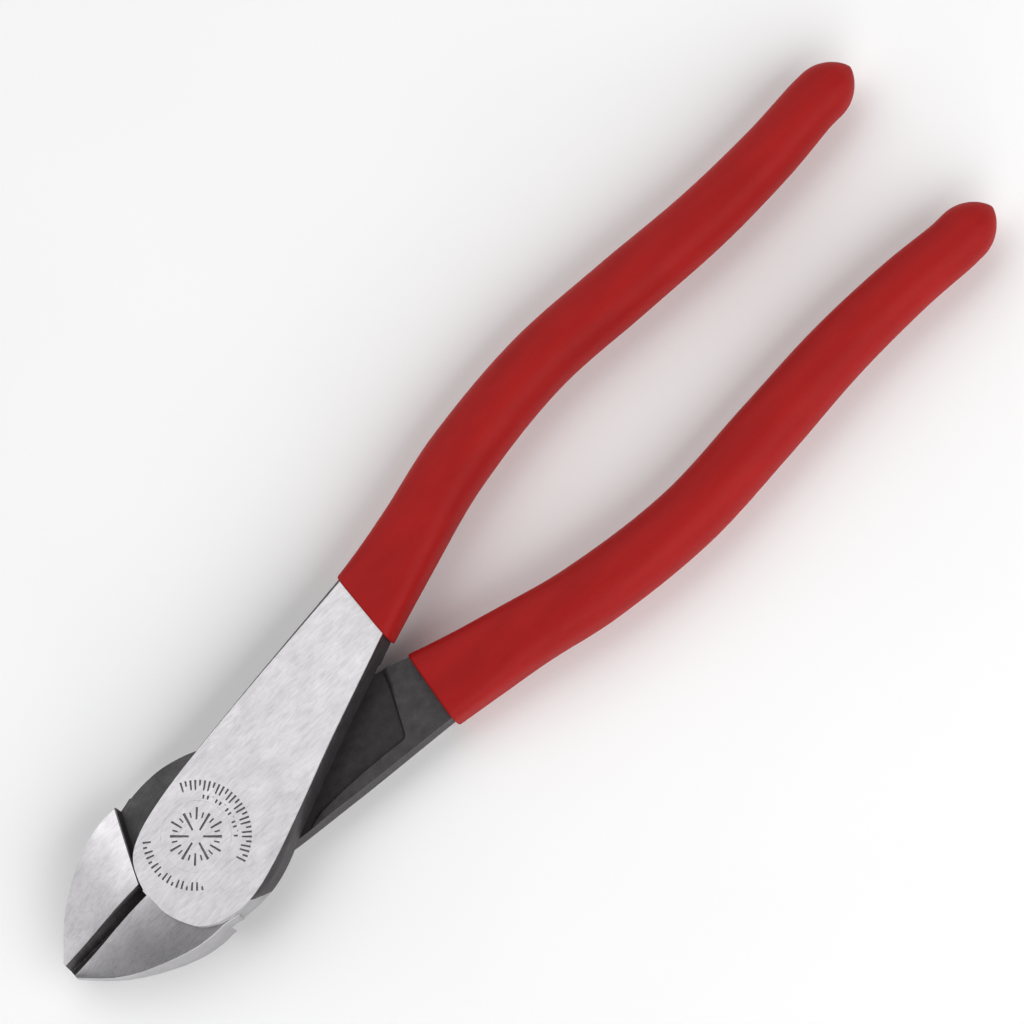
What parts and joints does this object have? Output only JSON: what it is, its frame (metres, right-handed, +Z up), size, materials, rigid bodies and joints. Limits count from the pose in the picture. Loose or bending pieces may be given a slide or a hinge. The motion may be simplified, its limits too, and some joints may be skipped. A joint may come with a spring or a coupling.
{
  "type": "diagonal cutting pliers",
  "caption": "Lap-joint diagonal cutting pliers: two identical forged halves on a flush rivet, each with a bowed, dip-moulded plastic grip; the jaws close on two knife edges.",
  "frame": {"origin": "on the rivet's axis, in the plane that the closed pliers lie on (the ground face of the lower half)", "axes": "+X along the closed pliers towards the jaw tips, +Z up along the rivet's axis, +Y towards the handle of the lower half"},
  "size_m": [0.2044, 0.0494, 0.0127],
  "materials": {
    "ground_steel": "ground bright, fine marks",
    "forged_steel": "ground bright faces with black oxide on the flanks, the recess and the pocket",
    "rivet_steel": "ground flush",
    "dipped_plastic": "satin red, dip moulded"
  },
  "bodies": {
    "back_half": {"back_lever": "forged_steel", "back_grip": "dipped_plastic", "joint_rivet": "rivet_steel"},
    "front_half": {"front_lever": "ground_steel", "front_grip": "dipped_plastic"}
  },
  "joints": [
    {"name": "jaw_pivot", "type": "hinge", "parent": "back_half", "child": "front_half", "pos_m": [0, 0, 0.00635], "axis": [0, 0, 1], "range_deg": [0, 60]}
  ]
}
